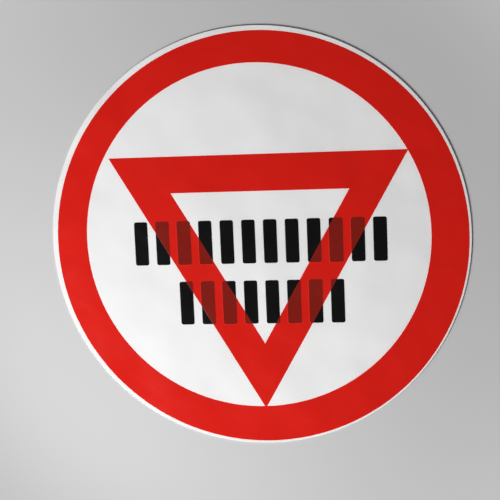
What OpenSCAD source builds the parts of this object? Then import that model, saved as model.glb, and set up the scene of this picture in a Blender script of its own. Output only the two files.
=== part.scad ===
/* [Sheet] */
// Diameter of the round sheet, cut through film and paper at once
sheet_d = 80; // [78:1:120]
// Thickness of the backing paper
paper_t = 0.16; // [0.1:0.01:0.25]
// Thickness of the clear film with its adhesive
film_t = 0.12; // [0.08:0.01:0.2]

/* [Peel slit] */
// Width of the slit that splits the backing paper so that it can be peeled
slit_w = 0.08; // [0.04:0.02:0.3]
// Distance of the slit from the middle of the sheet
slit_x = 13; // [-25:1:25]

/* [Register] */
// Sideways shift of the whole print from the middle of the cut sheet
print_x = 0.3; // [-0.4:0.1:0.4]
// Shift of the whole print along the sign's height
print_y = -0.2; // [-0.4:0.1:0.4]
// Sideways shift of the ring's bare middle from the print
middle_x = -0.6; // [-1:0.1:1]
// Shift of the ring's bare middle along the sign's height
middle_y = 0.5; // [-1:0.1:1]

/* [Red ring and triangle] */
// Bare edge between the cut and a ring printed in perfect register
edge_w = 0.7; // [0.6:0.1:2]
// Width of the ring
ring_w = 6.4; // [4:0.1:8]
// Room left between the tips of the triangle and the ring
tip_gap = 0.1; // [0.05:0.05:2]
// Width of the triangle's three bars
bar_w = 6.6; // [4:0.1:8]
// Shift of the triangle's opening towards its top right corner
opening_x = 0.3; // [-0.6:0.1:0.6]
// Shift of the triangle's opening along the sign's height
opening_y = -0.4; // [-0.6:0.1:0.6]

/* [Black blocks] */
// Width of one block
block_w = 2.6; // [1.5:0.1:3.2]
// Height of one block
block_h = 8.4; // [5:0.1:10]
// Radius of a block's corners
block_r = 0.4; // [0.1:0.1:0.7]
// Bare strip between two blocks of a row
block_gap = 1.55; // [0.5:0.05:1.6]
// Blocks in the upper row
upper_blocks = 12; // [1:1:12]
// Blocks in the lower row
lower_blocks = 8; // [1:1:10]
// Height of the upper row's middle above the middle of the print
upper_y = -0.2; // [-2:0.1:4]
// Bare strip between the two rows
row_gap = 3.3; // [1:0.1:4]

/* [Ink] */
// Thickness of the black ink
black_t = 0.03; // [0.02:0.005:0.04]
// Thickness of the red ink
red_t = 0.045; // [0.045:0.005:0.08]
// How far the red ink spreads on the film beside a block that it climbs
climb_w = 0.1; // [0.05:0.05:0.2]

/* [Hidden] */
$fn = 180;
film_z = paper_t;
print_z = film_z + film_t;
ring_r = sheet_d / 2 - edge_w;
middle_r = ring_r - ring_w;
triangle_r = middle_r - tip_gap;
opening_r = triangle_r - 2 * bar_w;
pitch = block_w + block_gap;
lower_y = upper_y - block_h - row_gap;
overcut = 1;

// An equal-sided triangle that points down, given by the circle through its tips
module triangle_down(r) {
    rotate(-90) circle(r = r, $fn = 3);
}

// The outline of the red ink: the ring and the open triangle
module red_outline() {
    difference() {
        circle(r = ring_r);
        translate([middle_x, middle_y]) circle(r = middle_r);
    }
    difference() {
        triangle_down(triangle_r);
        translate([opening_x, opening_y]) triangle_down(opening_r);
    }
}

// A rectangle w by h with round corners, grown by margin on every side
module block_outline(margin) {
    w = block_w + 2 * margin;
    h = block_h + 2 * margin;
    r = block_r + margin;
    square([w, h - 2 * r], center = true);
    square([w - 2 * r, h], center = true);
    for (x = [-1, 1], y = [-1, 1])
        translate([x * (w / 2 - r), y * (h / 2 - r)]) circle(r = r);
}

// A row of count upright blocks, centred on the print
module block_row(count, y, height, margin) {
    for (i = [0 : count - 1])
        translate([(i - (count - 1) / 2) * pitch, y, 0])
            linear_extrude(height) block_outline(margin);
}

// Both rows of blocks, standing on the film
module blocks(height, margin = 0) {
    block_row(upper_blocks, upper_y, height, margin);
    block_row(lower_blocks, lower_y, height, margin);
}

// Backing paper, slit from side to side behind the film
module backing_paper() {
    color("whitesmoke")
        difference() {
            cylinder(d = sheet_d, h = paper_t);
            translate([slit_x - slit_w / 2, -sheet_d / 2 - overcut, -overcut])
                cube([slit_w, sheet_d + 2 * overcut, paper_t + 2 * overcut]);
        }
}

// Clear film with its adhesive on the paper's side
module clear_film() {
    color([0.96, 0.96, 0.95, 0.4])
        translate([0, 0, film_z]) cylinder(d = sheet_d, h = film_t);
}

// Black ink, printed first
module black_print() {
    color([0.06, 0.06, 0.06])
        translate([print_x, print_y, print_z]) blocks(black_t);
}

// Red ink, printed second: it lies on the film and steps up over each block that it crosses
module red_print() {
    color([0.83, 0.11, 0.09])
        translate([print_x, print_y, print_z])
            difference() {
                union() {
                    linear_extrude(red_t) red_outline();
                    intersection() {
                        linear_extrude(black_t + red_t) red_outline();
                        blocks(black_t + red_t, climb_w);
                    }
                }
                translate([0, 0, -overcut]) blocks(overcut + black_t);
            }
}

backing_paper();
clear_film();
black_print();
red_print();
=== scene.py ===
import math

import bpy
import numpy as np
from mathutils import Euler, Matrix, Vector
from mathutils.geometry import delaunay_2d_cdt


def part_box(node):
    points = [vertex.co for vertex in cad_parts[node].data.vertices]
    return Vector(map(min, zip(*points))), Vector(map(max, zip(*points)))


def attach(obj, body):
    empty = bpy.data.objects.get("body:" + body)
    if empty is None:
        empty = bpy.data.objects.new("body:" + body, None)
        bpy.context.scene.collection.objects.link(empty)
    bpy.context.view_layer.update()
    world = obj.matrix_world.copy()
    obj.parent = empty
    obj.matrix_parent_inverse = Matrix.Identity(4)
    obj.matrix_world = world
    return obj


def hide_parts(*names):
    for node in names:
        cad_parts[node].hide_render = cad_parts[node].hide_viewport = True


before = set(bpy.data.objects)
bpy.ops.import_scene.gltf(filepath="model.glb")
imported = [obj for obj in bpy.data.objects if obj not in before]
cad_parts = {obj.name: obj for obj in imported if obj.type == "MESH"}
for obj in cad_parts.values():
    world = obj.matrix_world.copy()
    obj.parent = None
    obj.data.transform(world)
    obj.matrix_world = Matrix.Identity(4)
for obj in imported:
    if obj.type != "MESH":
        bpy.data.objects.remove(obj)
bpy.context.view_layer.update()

# The camera: a close view from a hand's length above the sheet, a little to the right of its middle and
# above it, so that the round sheet looks slightly narrowed from lower left to upper right.
mm = 0.001
scene = bpy.context.scene
view_distance = 237.76 * mm
view_lens = 90.0
view_turn = Euler((math.radians(-8.84), math.radians(7.49), math.radians(-2.40)))
picture_middle = Vector((-1.62, -2.06, 0)) * mm
camera = bpy.data.objects.new("camera", bpy.data.cameras.new("camera"))
camera.data.lens = view_lens
camera.rotation_euler = view_turn
camera.location = picture_middle + view_turn.to_matrix() @ Vector((0, 0, view_distance))
scene.collection.objects.link(camera)
scene.camera = camera
scene.view_settings.view_transform = "Standard"


# The light: one soft upright panel, low on the left and near enough that the far side of the sheet is dimmer.
# The studio's walls are pale, and its ceiling is dark, so that black ink seen from above stays black.
def add_node(tree, kind, inputs=None, **settings):
    """Adds a shader node, sets its properties, and sets each input or joins it to another node's output."""
    new = tree.nodes.new("ShaderNode" + kind)
    for name, value in settings.items():
        setattr(new, name, value)
    for name, value in (inputs or {}).items():
        if isinstance(value, bpy.types.NodeSocket):
            tree.links.new(value, new.inputs[name])
        else:
            new.inputs[name].default_value = value
    return new


def ramp(tree, value, start, end, low, high, smooth=False):
    """A number that goes from low to high while another goes from start to end."""
    kind = "SMOOTHSTEP" if smooth else "LINEAR"
    spans = {"Value": value, "From Min": start, "From Max": end, "To Min": low, "To Max": high}
    return add_node(tree, "MapRange", spans, interpolation_type=kind).outputs["Result"]


panel_side = 90 * mm
panel_bearing = math.radians(221)
panel_reach = 240 * mm
panel_height = 155 * mm
panel_watts = 1.43
panel_aim = Vector((math.cos(panel_bearing), math.sin(panel_bearing), 0))
panel = bpy.data.objects.new("light_panel", bpy.data.lights.new("light_panel", "AREA"))
panel.data.shape = "SQUARE"
panel.data.size = panel_side
panel.data.energy = panel_watts
panel.location = panel_aim * panel_reach + Vector((0, 0, panel_height))
panel.rotation_euler = panel_aim.to_track_quat("Z", "Y").to_euler()
scene.collection.objects.link(panel)

wall_light = 0.68
ceiling_light = 0.025
wall_top = math.sin(math.radians(15))
ceiling_edge = math.sin(math.radians(42))
scene.world = bpy.data.worlds.new("studio")
scene.world.use_nodes = True
studio = scene.world.node_tree
studio.nodes.clear()
around = add_node(studio, "TexCoord").outputs["Generated"]
height = add_node(studio, "SeparateXYZ", {"Vector": around}).outputs["Z"]
room = ramp(studio, height, wall_top, ceiling_edge, wall_light, ceiling_light, smooth=True)
sky = add_node(studio, "Background", {"Color": (1, 1, 1, 1), "Strength": room})
add_node(studio, "OutputWorld", {"Surface": sky.outputs["Background"]})


# The floor: a plain pale studio surface, a little darker than the paper so that the sheet's white edge shows.
# Away from the sheet it fades into an even pale backdrop, which only the camera and mirrored rays see.
def new_material(name):
    """A material with an empty node tree, and that tree."""
    material = bpy.data.materials.new(name)
    material.use_nodes = True
    material.node_tree.nodes.clear()
    return material, material.node_tree


def object_point(tree):
    """The point on the piece, in metres in the row's own frame."""
    return add_node(tree, "TexCoord").outputs["Object"]


def add_mesh(name, points, faces, material):
    """A mesh object in the scene, with flat faces and one material."""
    mesh = bpy.data.meshes.new(name)
    mesh.from_pydata(points, [], faces)
    mesh.materials.append(material)
    mesh.validate()
    piece = bpy.data.objects.new(name, mesh)
    scene.collection.objects.link(piece)
    return piece


floor_half = 4000 * mm
floor_drop = 0.05 * mm
floor_shade = (0.55, 0.55, 0.55, 1)
fade_start = 41 * mm
fade_end = 80 * mm
floor_paint, tree = new_material("pale_floor")
away = add_node(tree, "VectorMath", {0: object_point(tree)}, operation="LENGTH").outputs["Value"]
fade = ramp(tree, away, fade_start, fade_end, 0, 1, smooth=True)
rays = add_node(tree, "LightPath").outputs
seen = 0.0
for ray in ("Is Camera Ray", "Is Glossy Ray", "Is Transmission Ray"):
    seen = add_node(tree, "Math", {0: seen, 1: rays[ray]}, operation="MAXIMUM").outputs["Value"]
share = add_node(tree, "Math", {0: fade, 1: seen}, operation="MULTIPLY").outputs["Value"]
near = add_node(tree, "BsdfDiffuse", {"Color": floor_shade}).outputs["BSDF"]
far = add_node(tree, "Emission", {"Color": floor_shade}).outputs["Emission"]
blend = add_node(tree, "MixShader", {0: share, 1: near, 2: far}).outputs["Shader"]
add_node(tree, "OutputMaterial", {"Surface": blend})
corners = [(-1, -1), (1, -1), (1, 1), (-1, 1)]
floor_points = [(x * floor_half, y * floor_half, -floor_drop) for x, y in corners]
floor = add_mesh("floor", floor_points, [(0, 1, 2, 3)], floor_paint)


# Backing paper: the white release paper that the sticker is sold on, silicone coated on the sticker's side
# and bare on the back. It is die-cut with the film, and a knife has slit it from the back, so that it peels
# off in two parts.
def stack_loops(loops):
    """A closed solid from loops of equally many points, bottom first, each a list of (x, y, z)."""
    points = [p for loop in loops for p in loop]
    count = len(loops[0])
    faces = [tuple(range(count))[::-1], tuple(range(len(points) - count, len(points)))]
    for level in range(len(loops) - 1):
        low = level * count
        for i in range(count):
            j = (i + 1) % count
            faces.append((low + i, low + j, low + count + j, low + count + i))
    return points, faces


def mottle(tree, place, size, detail=2.0):
    """Soft random blotches of about one size, as a number that wavers round one half."""
    return add_node(tree, "TexNoise", {"Vector": place, "Scale": 1 / size, "Detail": detail}).outputs["Fac"]


def relief(tree, height, depth, strength=1.0, under=None):
    """The normal of a surface that a pattern raises by up to depth, on top of any normal under it."""
    raised = {"Height": height, "Distance": depth, "Strength": strength}
    if under is not None:
        raised["Normal"] = under
    return add_node(tree, "Bump", raised).outputs["Normal"]


def slack(tree, place):
    """The slow waves of a thin sheet that nothing holds flat, as a normal."""
    wave_size = 14.3 * mm
    wave_depth = 0.6 * mm
    return relief(tree, mottle(tree, place, wave_size, detail=1.5), wave_depth)


def between(tree, share, first, second):
    """A colour that is the first where share is 0 and the second where it is 1."""
    return add_node(tree, "MixRGB", {0: share, 1: first, 2: second}).outputs["Color"]


def opaque(tree, colour, roughness, normal):
    """Ends a material as a solid surface."""
    surface = {"Base Color": colour, "Roughness": roughness, "Normal": normal}
    shade = add_node(tree, "BsdfPrincipled", surface).outputs["BSDF"]
    add_node(tree, "OutputMaterial", {"Surface": shade})


def half_disc(radius, chord, side, steps=360):
    """The outline, anticlockwise, of a disc's part beyond the line x = chord, to the right if side is 1."""
    reach = math.acos(chord * side / radius)
    turns = [reach * (2 * i / steps - 1) for i in range(steps + 1)]
    return [(side * radius * math.cos(a), side * radius * math.sin(a)) for a in turns]


paper_low, paper_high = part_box("backing_paper")
film_low, film_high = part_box("clear_film")
sheet_r = (film_high.x - film_low.x) / 2
slit_x = 13 * mm
slit_w = 0.08 * mm
slit_neck = 0.8 * slit_w
slit_tip = 0.006 * mm
knife_bevel = 0.02 * mm
coated_shades = (0.838, 0.838, 0.836, 1), (0.864, 0.864, 0.862, 1)
coated_roughness = 0.7
cloud_size = 2.4 * mm
grain_size = 0.11 * mm
grain_depth = 0.01 * mm
bare_shades = (0.775, 0.772, 0.76, 1), (0.845, 0.843, 0.832, 1)
bare_roughness = 0.85
clump_size = 1.5 * mm
clump_span = 0.3, 0.7
fibre_size = 0.2 * mm
fibre_depth = 0.02 * mm

coated_side, tree = new_material("white_release_paper")
place = object_point(tree)
clouds = mottle(tree, place, cloud_size, detail=4.0)
grain = mottle(tree, place, grain_size, detail=3.0)
tooth = relief(tree, grain, grain_depth, strength=0.4, under=slack(tree, place))
opaque(tree, between(tree, clouds, *coated_shades), coated_roughness, tooth)

bare_side, tree = new_material("bare_paper_back")
place = object_point(tree)
clumps = ramp(tree, mottle(tree, place, clump_size, detail=5.0), *clump_span, 0, 1)
fibres = mottle(tree, place, fibre_size, detail=4.0)
felt = relief(tree, fibres, fibre_depth, strength=0.6, under=slack(tree, place))
opaque(tree, between(tree, clumps, *bare_shades), bare_roughness, felt)

# each half's outline at four heights, as the inset of its edge, its height and the width of the slit there
cut = [(knife_bevel, paper_low.z, slit_w), (0, paper_low.z + knife_bevel, slit_neck),
       (0, paper_high.z - knife_bevel, slit_tip), (knife_bevel, paper_high.z, slit_tip)]
points, faces, undersides = [], [], []
for side in (-1, 1):
    loops = []
    for inset, z, gap in cut:
        loops.append([(x, y, z) for x, y in half_disc(sheet_r - inset, slit_x + side * gap / 2, side)])
    half_points, half_faces = stack_loops(loops)
    undersides.append(len(faces))
    faces += [tuple(i + len(points) for i in face) for face in half_faces]
    points += half_points
paper = add_mesh("backing_paper_halves", points, faces, coated_side)
paper.data.materials.append(bare_side)
for underside in undersides:
    paper.data.polygons[underside].material_index = 1
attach(paper, "root")
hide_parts("backing_paper")


# Clear film: soft vinyl with a coat of adhesive below, stuck to the paper. The die has rounded its upper
# edge. It never lies dead flat, so its shine wavers, and the hands that held it have left its gloss uneven.
def gloss(tree, place, low, high):
    """Roughness that drifts between two values: marks drawn out by wiping, over a soft unevenness."""
    wipe_turn = math.radians(35)
    wipe_length = 11 * mm
    wipe_narrow = 6
    smear_size = 8.3 * mm
    span = 0.35, 0.65
    turned = add_node(tree, "VectorRotate", {"Vector": place, "Angle": wipe_turn}, rotation_type="Z_AXIS")
    drawn = {0: turned.outputs["Vector"], 1: (1, wipe_narrow, 1)}
    wiped = add_node(tree, "VectorMath", drawn, operation="MULTIPLY").outputs["Vector"]
    wipes = mottle(tree, wiped, wipe_length, detail=5.0)
    both = between(tree, 0.5, wipes, mottle(tree, place, smear_size))
    return ramp(tree, both, *span, low, high, smooth=True)


def disc(radius, z, steps=720):
    """The points of a level circle, anticlockwise."""
    turns = [2 * math.pi * i / steps for i in range(steps)]
    return [(radius * math.cos(a), radius * math.sin(a), z) for a in turns]


glue_gap = 0.01 * mm
edge_round = 0.04 * mm
edge_steps = 5
film_ior = 1.5
film_gloss = 0.09, 0.17
film_tint = (0.987, 0.987, 0.987, 1)
clear = (1, 1, 1, 1)

outer_side, tree = new_material("glossy_clear_film")
place = object_point(tree)
wave = slack(tree, place)
polish = gloss(tree, place, *film_gloss)
mirror = add_node(tree, "BsdfGlossy", {"Color": clear, "Roughness": polish, "Normal": wave}).outputs["BSDF"]
through = add_node(tree, "BsdfTransparent", {"Color": film_tint}).outputs["BSDF"]
shine = add_node(tree, "Fresnel", {"IOR": film_ior, "Normal": wave}).outputs["Fac"]
behind = add_node(tree, "NewGeometry").outputs["Backfacing"]
front = add_node(tree, "Math", {0: 1.0, 1: behind}, operation="SUBTRACT").outputs["Value"]
share = add_node(tree, "Math", {0: shine, 1: front}, operation="MULTIPLY").outputs["Value"]
blend = add_node(tree, "MixShader", {0: share, 1: through, 2: mirror}).outputs["Shader"]
add_node(tree, "OutputMaterial", {"Surface": blend})

glued_side, tree = new_material("clear_adhesive")
through = add_node(tree, "BsdfTransparent", {"Color": clear}).outputs["BSDF"]
add_node(tree, "OutputMaterial", {"Surface": through})

loops = [disc(sheet_r, film_low.z + glue_gap)]
for i in range(edge_steps + 1):
    a = math.radians(90 * i / edge_steps)
    inset = edge_round * (1 - math.cos(a))
    loops.append(disc(sheet_r - inset, film_high.z - edge_round * (1 - math.sin(a))))
film = add_mesh("clear_film_disc", *stack_loops(loops), outer_side)
film.data.materials.append(glued_side)
film.data.polygons[0].material_index = 1
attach(film, "root")
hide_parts("clear_film")


# Black print: two rows of upright blocks, screen printed first. The ink is a thin satin skin with steep
# edges, and its top falls away softly towards them. The film and the paper spread light sideways, so the ink
# throws no shadow line.
def screen_weave(tree, place, under):
    """The fine weave that a printing screen leaves in ink, on top of a given normal."""
    weave_turn = math.radians(22)
    weave_pitch = 0.15 * mm
    weave_depth = 0.002 * mm
    weave_wander = 0.6
    texture_repeat = math.pi / 10
    bands = texture_repeat / weave_pitch
    turned = add_node(tree, "VectorRotate", {"Vector": place, "Angle": weave_turn}, rotation_type="Z_AXIS")
    threads = []
    for direction in ("X", "Y"):
        wave = {"Vector": turned.outputs["Vector"], "Scale": bands, "Distortion": weave_wander}
        threads.append(add_node(tree, "TexWave", wave, bands_direction=direction).outputs["Fac"])
    crossed = add_node(tree, "Math", {0: threads[0], 1: threads[1]}, operation="MULTIPLY").outputs["Value"]
    return relief(tree, crossed, weave_depth, strength=0.5, under=under)


def satin_ink(name, paint):
    """A material for printed ink, in the colour that paint works out from its tree and the place on it."""
    material, tree = new_material(name)
    place = object_point(tree)
    woven = screen_weave(tree, place, slack(tree, place))
    opaque(tree, paint(tree, place), gloss(tree, place, *ink_gloss), woven)
    return material


def black_paint(tree, place):
    """A black that varies a little with the ink's thickness."""
    return between(tree, mottle(tree, place, ink_cloud_size, ink_cloud_detail), *black_shades)


def rounded_block(x0, y0, inset):
    """The outline of one upright block with round corners, anticlockwise, drawn in by inset."""
    corner = block_corner - inset
    outline = []
    for start, right, up in ((0, 1, 1), (90, -1, 1), (180, -1, -1), (270, 1, -1)):
        x = x0 + right * (block_w / 2 - block_corner)
        y = y0 + up * (block_h / 2 - block_corner)
        for i in range(corner_steps + 1):
            a = math.radians(start + 90 * i / corner_steps)
            outline.append((x + corner * math.cos(a), y + corner * math.sin(a)))
    return outline


block_w = 2.6 * mm
block_h = 8.4 * mm
block_corner = 0.4 * mm
corner_steps = 6
block_gap = 1.55 * mm
row_gap = 3.3 * mm
upper_y = -0.2 * mm
lower_y = upper_y - block_h - row_gap
upper_blocks = 12
lower_blocks = 8
lip = 0.006 * mm
fall = 0.05 * mm
# the ink towards its edge, as the distance in from it and the share of its thickness there
ink_edge = [(0, 0), (0, 0.35), (lip, 0.8), (fall, 1)]
red_low, red_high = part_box("red_print")
black_low, black_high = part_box("black_print")
black_t = black_high.z - black_low.z
print_x = (red_low.x + red_high.x) / 2
print_y = (red_low.y + red_high.y) / 2
ink_gloss = 0.18, 0.24
ink_cloud_size = 3.3 * mm
ink_cloud_detail = 3.0
black_shades = (0.0035, 0.0035, 0.0039, 1), (0.0055, 0.0055, 0.0061, 1)

block_places = []
for count, y in ((upper_blocks, upper_y), (lower_blocks, lower_y)):
    for i in range(count):
        block_places.append((print_x + (i - (count - 1) / 2) * (block_w + block_gap), print_y + y))
points, faces = [], []
for x0, y0 in block_places:
    loops = [[(x, y, black_low.z + share * black_t) for x, y in rounded_block(x0, y0, inset)]
             for inset, share in ink_edge]
    block_points, block_faces = stack_loops(loops)
    faces += [tuple(i + len(points) for i in face) for face in block_faces]
    points += block_points
black = add_mesh("black_blocks", points, faces, satin_ink("satin_black_ink", black_paint))
black.visible_shadow = False
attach(black, "root")
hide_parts("black_print")


# Red print: the ring and the open triangle, screen printed second in one pass. It lies on the film, climbs
# over each black block that its bars cross, and is thin enough there for the black to darken it.
ring_w = 6.4 * mm
bar_w = 6.6 * mm
tip_gap = 0.1 * mm
middle_x = -0.6 * mm
middle_y = 0.5 * mm
opening_x = 0.3 * mm
opening_y = -0.4 * mm
ring_r = (red_high.x - red_low.x) / 2
middle_r = ring_r - ring_w
triangle_r = middle_r - tip_gap
opening_r = triangle_r - 2 * bar_w
print_place = (print_x, print_y)
middle_place = (print_x + middle_x, print_y + middle_y)
opening_place = (print_x + opening_x, print_y + opening_y)
red_t = red_high.z - red_low.z - black_t
# the climb over a block, as the distance from the block and the share of its height there
climb = [(0, 1), (0.03 * mm, 0.93), (0.07 * mm, 0.7), (0.1 * mm, 0)]
outline_step = 0.4 * mm
red_shades = (0.630, 0.0115, 0.0066, 1), (0.660, 0.0130, 0.0076, 1)
red_on_black = (0.205, 0.011, 0.0065, 1)


def past_triangle(x, y, place, r):
    """How far points lie outside a triangle pointing down, with tips r from its place, negative inside it."""
    dx = x - place[0]
    dy = y - place[1]
    sides = [math.radians(a) for a in (90, 210, 330)]
    return np.max([dx * math.cos(a) + dy * math.sin(a) - r / 2 for a in sides], axis=0)


def past_red(x, y):
    """How far points lie outside the red outline, negative inside it."""
    outer = np.hypot(x - print_place[0], y - print_place[1]) - ring_r
    middle = np.hypot(x - middle_place[0], y - middle_place[1]) - middle_r
    triangle = past_triangle(x, y, print_place, triangle_r)
    opening = past_triangle(x, y, opening_place, opening_r)
    return np.minimum(np.maximum(outer, -middle), np.maximum(triangle, -opening))


def past_black(x, y):
    """How far points lie outside the nearest black block, negative inside it."""
    nearest = np.full_like(x, np.inf)
    for x0, y0 in block_places:
        dx = np.abs(x - x0) - (block_w / 2 - block_corner)
        dy = np.abs(y - y0) - (block_h / 2 - block_corner)
        outside = np.hypot(np.maximum(dx, 0), np.maximum(dy, 0)) + np.minimum(np.maximum(dx, dy), 0)
        nearest = np.minimum(nearest, outside - block_corner)
    return nearest


def circle_line(place, r):
    """Points round a circle, about outline_step apart."""
    steps = int(2 * math.pi * r / outline_step)
    turns = [2 * math.pi * i / steps for i in range(steps)]
    return [(place[0] + r * math.cos(a), place[1] + r * math.sin(a)) for a in turns]


def triangle_line(place, r):
    """Points along a triangle pointing down, about outline_step apart."""
    turns = [math.radians(a) for a in (-90, 30, 150)]
    tips = [(place[0] + r * math.cos(a), place[1] + r * math.sin(a)) for a in turns]
    steps = int(r * math.sqrt(3) / outline_step)
    line = []
    for (ax, ay), (bx, by) in zip(tips, tips[1:] + tips[:1]):
        line += [(ax + (bx - ax) * i / steps, ay + (by - ay) * i / steps) for i in range(steps)]
    return line


def red_paint(tree, place):
    """A red that varies a little with the ink's thickness, and is darker where black lies below it."""
    alone = between(tree, mottle(tree, place, ink_cloud_size, ink_cloud_detail), *red_shades)
    below = add_node(tree, "Attribute", attribute_name="black_below").outputs["Fac"]
    return between(tree, below, alone, red_on_black)


# every line that the red skin bends along: its own edge, where that rounds off, and the climb at each block
lines = []
for inset, _ in ink_edge[1:]:
    lines.append(circle_line(print_place, ring_r - inset))
    lines.append(circle_line(middle_place, middle_r + inset))
    lines.append(triangle_line(print_place, triangle_r - 2 * inset))
    lines.append(triangle_line(opening_place, opening_r + 2 * inset))
for x0, y0 in block_places:
    block_line = np.array(rounded_block(x0, y0, 0))
    if past_red(block_line[:, 0], block_line[:, 1]).min() < climb[-1][0]:
        lines += [rounded_block(x0, y0, -reach) for reach, _ in climb]

# the skin's flat net, laid out in millimetres over the whole print and then cut to the red outline
whole_print = 0
net_tolerance = 1e-5
line_points, line_edges = [], []
for line in lines:
    first = len(line_points)
    line_points += [Vector((x / mm, y / mm)) for x, y in line]
    line_edges += [(first + i, first + (i + 1) % len(line)) for i in range(len(line))]
net_points, _, net_faces, _, _, _ = delaunay_2d_cdt(
    line_points, line_edges, [], whole_print, net_tolerance)
net = np.array([tuple(p) for p in net_points]) * mm
net_faces = np.array([tuple(face) for face in net_faces])
middles = net[net_faces].mean(axis=1)
net_faces = net_faces[past_red(middles[:, 0], middles[:, 1]) < 0]
used, net_faces = np.unique(net_faces, return_inverse=True)
net_faces = net_faces.reshape(-1, 3)
net = net[used]

# its top and its underside, and the rim that joins them; a point nearer to a block than halfway to the
# climb's next line lies on that block
inside = -past_red(net[:, 0], net[:, 1])
outside = past_black(net[:, 0], net[:, 1])
skin = red_t * np.interp(inside, [inset for inset, _ in ink_edge[1:]], [share for _, share in ink_edge[1:]])
lift = black_t * np.interp(outside, [reach for reach, _ in climb], [share for _, share in climb])
halfway = climb[1][0] / 2
on_black = outside < halfway
top = red_low.z + skin + lift
under = red_low.z + np.where(on_black, black_t, 0)
count = len(net)
points = [(x, y, z) for (x, y), z in zip(net, top)] + [(x, y, z) for (x, y), z in zip(net, under)]
faces = []
rim = {}
for a, b, c in net_faces.tolist():
    faces += [(a, b, c), (c + count, b + count, a + count)]
    for edge in ((a, b), (b, c), (c, a)):
        if rim.pop(edge[::-1], None) is None:
            rim[edge] = True
faces += [(start, start + count, end + count, end) for start, end in rim]

red = add_mesh("red_ring_and_triangle", points, faces, satin_ink("satin_red_ink", red_paint))
red.visible_shadow = False
below = red.data.attributes.new("black_below", "FLOAT", "POINT")
below.data.foreach_set("value", np.tile(on_black, 2).astype(np.float32))
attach(red, "root")
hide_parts("red_print")
